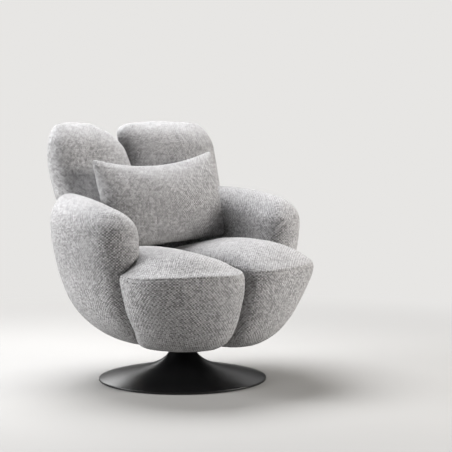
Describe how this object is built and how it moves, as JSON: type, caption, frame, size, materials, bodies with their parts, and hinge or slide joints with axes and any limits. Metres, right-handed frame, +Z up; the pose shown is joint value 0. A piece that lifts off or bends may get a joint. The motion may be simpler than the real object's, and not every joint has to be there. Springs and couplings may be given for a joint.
{
  "type": "swivel lounge chair",
  "caption": "Upholstered swivel lounge chair with plump lobed arms, seat and back, a loose lumbar pillow and a low spun trumpet base.",
  "frame": {"origin": "on the floor, at the swivel axis, in the middle of the round base", "axes": "+Z up along the swivel axis; at rest the sitter faces -Y and the sitter's left is at +X"},
  "size_m": [0.8498, 0.8379, 0.8729],
  "materials": {
    "grey_tweed": "grey heather woven tweed",
    "black_satin_steel": "satin black powder coat",
    "zinc_plated_steel": "zinc plated",
    "white_nylon": "natural nylon",
    "birch_plywood": "raw plywood",
    "black_felt": "felt and dust cloth"
  },
  "bodies": {
    "base": {"floor_pad": "black_felt", "ballast_plate": "zinc_plated_steel", "trumpet_shell": "black_satin_steel", "column_tube": "zinc_plated_steel", "bearing_collar": "zinc_plated_steel", "lower_bush": "white_nylon", "upper_bush": "white_nylon", "lower_race": "zinc_plated_steel"},
    "bearing_cage": {"ball_cage": "zinc_plated_steel"},
    "seat": {"upper_race": "zinc_plated_steel", "swivel_spindle": "zinc_plated_steel", "circlip": "zinc_plated_steel", "swivel_plate": "zinc_plated_steel", "bottom_board": "birch_plywood", "seat_ring": "birch_plywood", "back_rail": "birch_plywood", "spring_felt": "black_felt", "dust_cover": "black_felt", "plate_bolt_1": "zinc_plated_steel", "tee_nut_1": "zinc_plated_steel", "sinuous_spring_1": "zinc_plated_steel", "plate_bolt_2": "zinc_plated_steel", "tee_nut_2": "zinc_plated_steel", "sinuous_spring_2": "zinc_plated_steel", "plate_bolt_3": "zinc_plated_steel", "tee_nut_3": "zinc_plated_steel", "sinuous_spring_3": "zinc_plated_steel", "plate_bolt_4": "zinc_plated_steel", "tee_nut_4": "zinc_plated_steel", "sinuous_spring_4": "zinc_plated_steel", "spring_clip_1": "zinc_plated_steel", "spring_clip_2": "zinc_plated_steel", "spring_clip_3": "zinc_plated_steel", "spring_clip_4": "zinc_plated_steel", "spring_clip_5": "zinc_plated_steel", "spring_clip_6": "zinc_plated_steel", "spring_clip_7": "zinc_plated_steel", "spring_clip_8": "zinc_plated_steel", "front_former_left": "birch_plywood", "arm_front_former_left": "birch_plywood", "arm_rear_former_left": "birch_plywood", "back_former_left": "birch_plywood", "arm_rail_left": "birch_plywood", "arm_pad_left": "grey_tweed", "seat_pad_left": "grey_tweed", "back_pad_left": "grey_tweed", "front_former_right": "birch_plywood", "arm_front_former_right": "birch_plywood", "arm_rear_former_right": "birch_plywood", "back_former_right": "birch_plywood", "arm_rail_right": "birch_plywood", "arm_pad_right": "grey_tweed", "seat_pad_right": "grey_tweed", "back_pad_right": "grey_tweed"},
    "pillow": {"lumbar_pillow": "grey_tweed"}
  },
  "joints": [
    {"name": "seat_swivel", "type": "hinge", "parent": "base", "child": "seat", "pos_m": [0, 0, 0.1419], "axis": [0, 0, 1], "continuous": true},
    {"name": "cage_roll", "type": "hinge", "parent": "base", "child": "bearing_cage", "pos_m": [0, 0, 0.1367], "axis": [0, 0, 1], "continuous": true},
    {"name": "pillow_lift", "type": "slide", "parent": "seat", "child": "pillow", "axis": [0, 0, 1], "range_m": [0, 0.35]}
  ],
  "couplings": [
    {"joint": "cage_roll", "follows": "seat_swivel", "ratio": 0.5}
  ]
}
